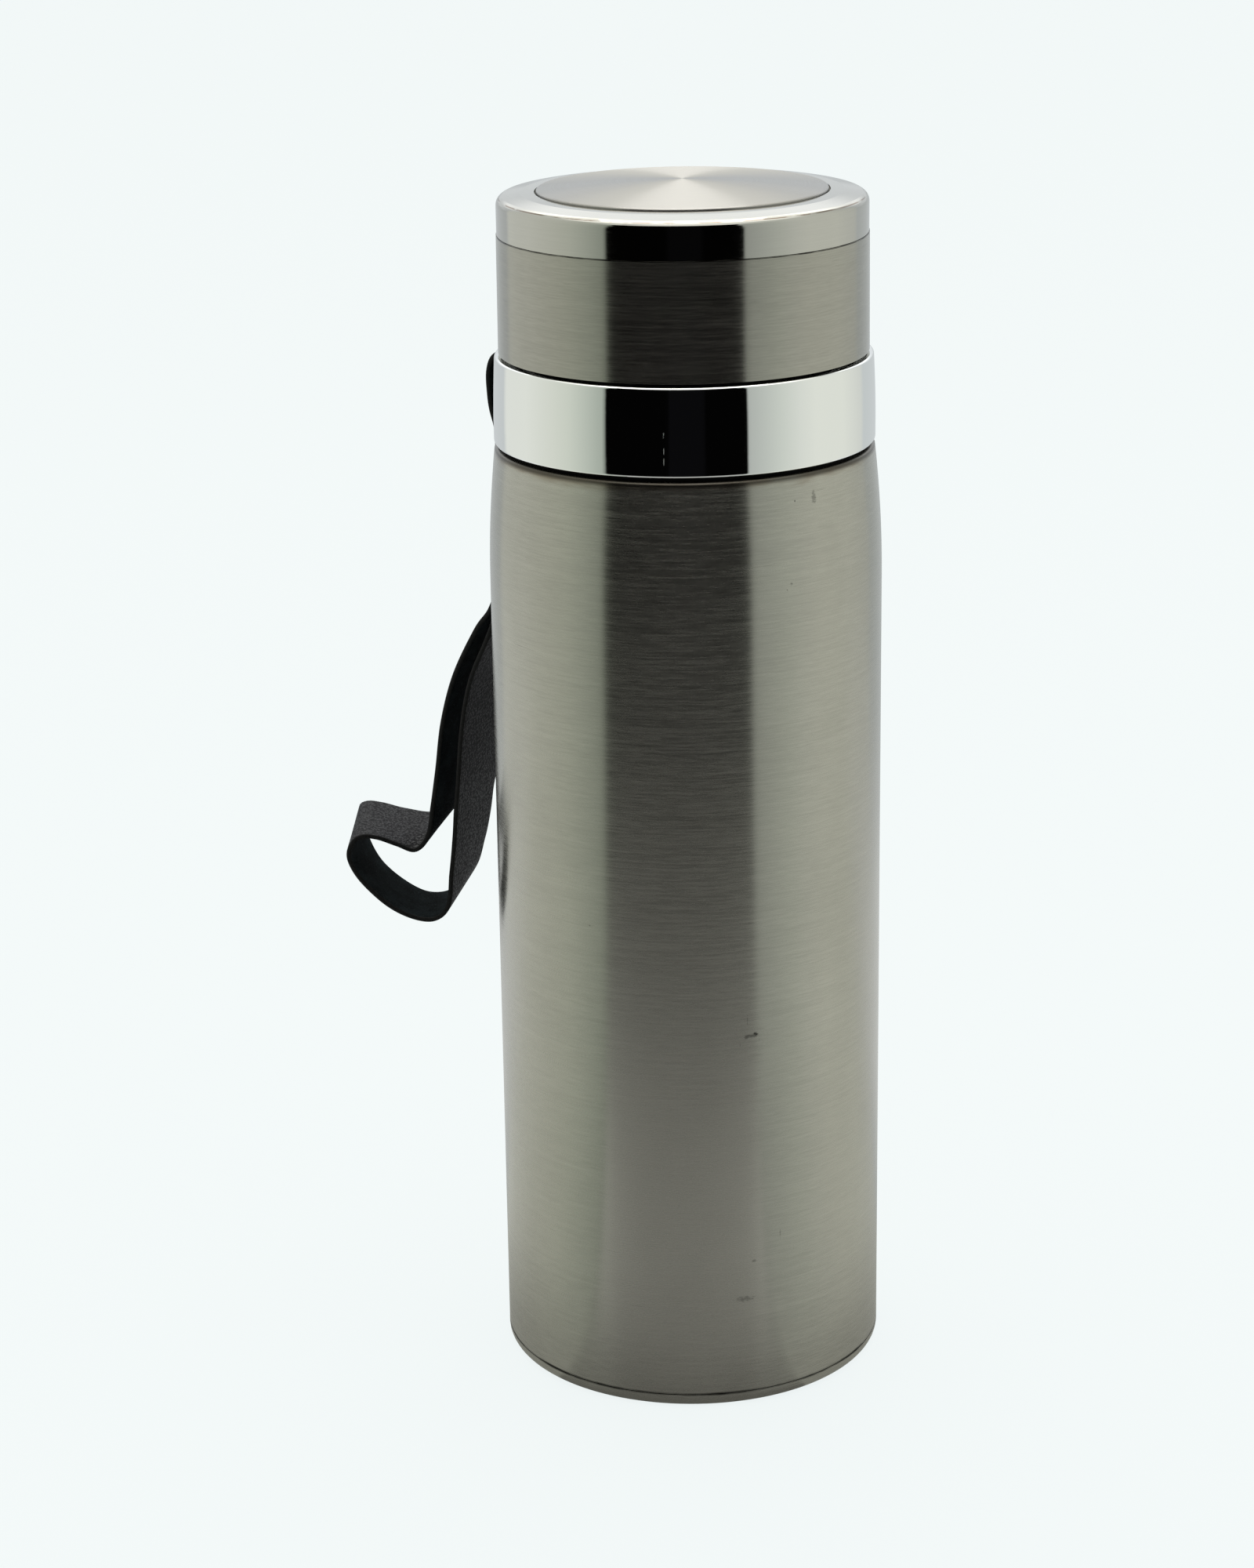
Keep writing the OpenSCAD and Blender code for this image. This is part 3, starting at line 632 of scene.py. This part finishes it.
leather = {
    "pale": (0.036, 0.036, 0.041), "dark": (0.024, 0.024, 0.027),
    "upperShade": (0.004, 0.004, 0.008), "upperShadeFade": (0.094, 0.125),  # painted shade: the strands are painted darker higher up
    # painted shade in the pebble hollows and painted highlights on the pebble tops
    "valleyShade": (0.009, 0.009, 0.011), "peakHighlight": (0.10, 0.10, 0.105),
    # painted shade in the cracks of the crease; the cracks' edges are painted lighter
    "shadedCrack": (0.001, 0.001, 0.001), "crackEdge": (0.070, 0.068, 0.066),
    # where the fold has creased the grain: out from the flask's axis, and height
    "creaseFrom": (0.0520, 0.0535), "creaseTo": (0.0555, 0.0600),
    "creaseLow": (0.0855, 0.0880), "creaseHigh": (0.0945, 0.0975),
    "pebble": 2200.0, "relief": 0.00022,
    "flesh": (0.002, 0.004, 0.005), "fleshPale": (0.008, 0.0125, 0.0145), "nap": (0.022, 0.032, 0.034),
    "edge": (0.002, 0.002, 0.002), "edgePale": (0.009, 0.009, 0.009),
}


def grainLeather(v):
    made, s = newMaterial("grainLeather")
    place = s.place()
    x, y, z = s.axes(place)
    pebble = s.use("TexVoronoi", {"feature": "SMOOTH_F1"},
                   {"Vector": place, "Scale": v["pebble"], "Smoothness": 0.5})
    small = s.noise(place, 4200.0, 3.0, 0.6)
    cloud = s.noise(place, 150.0, 3.0)
    side = math.radians(strap["side"])
    out = y * math.sin(side) + x * math.cos(side)
    bent = out.between(v["creaseFrom"], v["creaseTo"]) * z.between(v["creaseLow"], v["creaseHigh"])
    cell = s.use("TexVoronoi", {"feature": "DISTANCE_TO_EDGE"},
                 {"Vector": s.stretch(place, (800.0, 800.0, 1250.0)), "Scale": 1.0, "Randomness": 1.0})
    shadedCrack = (1.0 - cell.above(0.03, 0.16)) * bent * small.above(0.35, 0.55)
    ridge = cell.between((0.10, 0.16), (0.2, 0.34)) * bent
    height = (1.0 - pebble) * 0.7 + small * 0.3 - shadedCrack * 0.9
    tone = s.mix(cloud.above(0.3, 0.7), v["dark"], v["pale"])
    # painted shade higher up the strands
    tone = s.mix(z.above(*v["upperShadeFade"]), tone, v["upperShade"])
    # painted shade in the pebble hollows, painted highlights on the tops
    tone = s.mix(height.above(0.30, 0.80), v["valleyShade"], tone)
    tone = s.mix(height.above(0.84, 1.0) * 0.5, tone, v["peakHighlight"])
    # painted shade in the cracks, and lighter edges beside them
    tone = s.mix(ridge * 0.6, s.mix(shadedCrack, tone, v["shadedCrack"]), v["crackEdge"])
    s.surface({"Base Color": tone, "Roughness": height.above(0.3, 0.9, 0.7, 0.42), "Specular IOR Level": 0.16,
               "Normal": s.bump(height, v["relief"], 1.0)})
    return made


def fleshLeather(v):
    made, s = newMaterial("fleshLeather")
    place = s.place()
    nap = s.noise(place, 2600.0, 4.0, 0.7)
    cloud = s.noise(place, 260.0, 3.0)
    tone = s.mix(cloud.above(0.35, 0.7), v["flesh"], v["fleshPale"])
    s.surface({"Base Color": s.mix(nap.above(0.56, 0.70), tone, v["nap"]), "Roughness": 0.95,
               "Specular IOR Level": 0.08, "Normal": s.bump(nap, 0.00015, 1.0)})
    return made


def cutEdge(v):
    made, s = newMaterial("cutEdge")
    fibre = s.noise(s.place(), 3000.0, 3.0, 0.6)
    s.surface({"Base Color": s.mix(fibre.above(0.3, 0.7), v["edge"], v["edgePale"]), "Roughness": 0.7,
               "Specular IOR Level": 0.2, "Normal": s.bump(fibre, 0.00005, 0.6)})
    return made


def makeStrap(v):
    mid, wide, thick, length = strapFrames(v)
    section = strapSection(v)
    ring = np.array([[across, through] for across, through, part in section])
    points = mid[:, None] + wide[:, None] * ring[None, :, :1] + thick[:, None] * ring[None, :, 1:]
    side = math.radians(v["side"])
    turnIn = np.array([[math.cos(side), math.sin(side), 0], [-math.sin(side), math.cos(side), 0], [0, 0, 1]])
    points = points.reshape(-1, 3) @ turnIn / 1000
    n, m = len(mid), len(section)
    faces, parts = [], []
    for i in range(n):
        for k in range(m):
            nextRing, nextPoint = (i + 1) % n, (k + 1) % m
            faces.append((i * m + k, i * m + nextPoint, nextRing * m + nextPoint, nextRing * m + k))
            here, there = section[k][2], section[nextPoint][2]
            parts.append(here if here == there else 1)
    mesh = bpy.data.meshes.new("wrist_strap")
    mesh.from_pydata(points.tolist(), [], faces)
    mesh.polygons.foreach_set("material_index", parts)
    mesh.polygons.foreach_set("use_smooth", [True] * len(faces))
    bm = bmesh.new()
    bm.from_mesh(mesh)
    bmesh.ops.recalc_face_normals(bm, faces=bm.faces)
    bm.to_mesh(mesh)
    bm.free()
    for finish in (fleshLeather(leather), cutEdge(leather), grainLeather(leather)):
        mesh.materials.append(finish)
    made = putInScene(bpy.data.objects.new("wrist_strap", mesh))
    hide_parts("strap")
    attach(made, "strap")
    print("strap", round(length, 1), "mm round,", n, "rings")


makeStrap(strap)
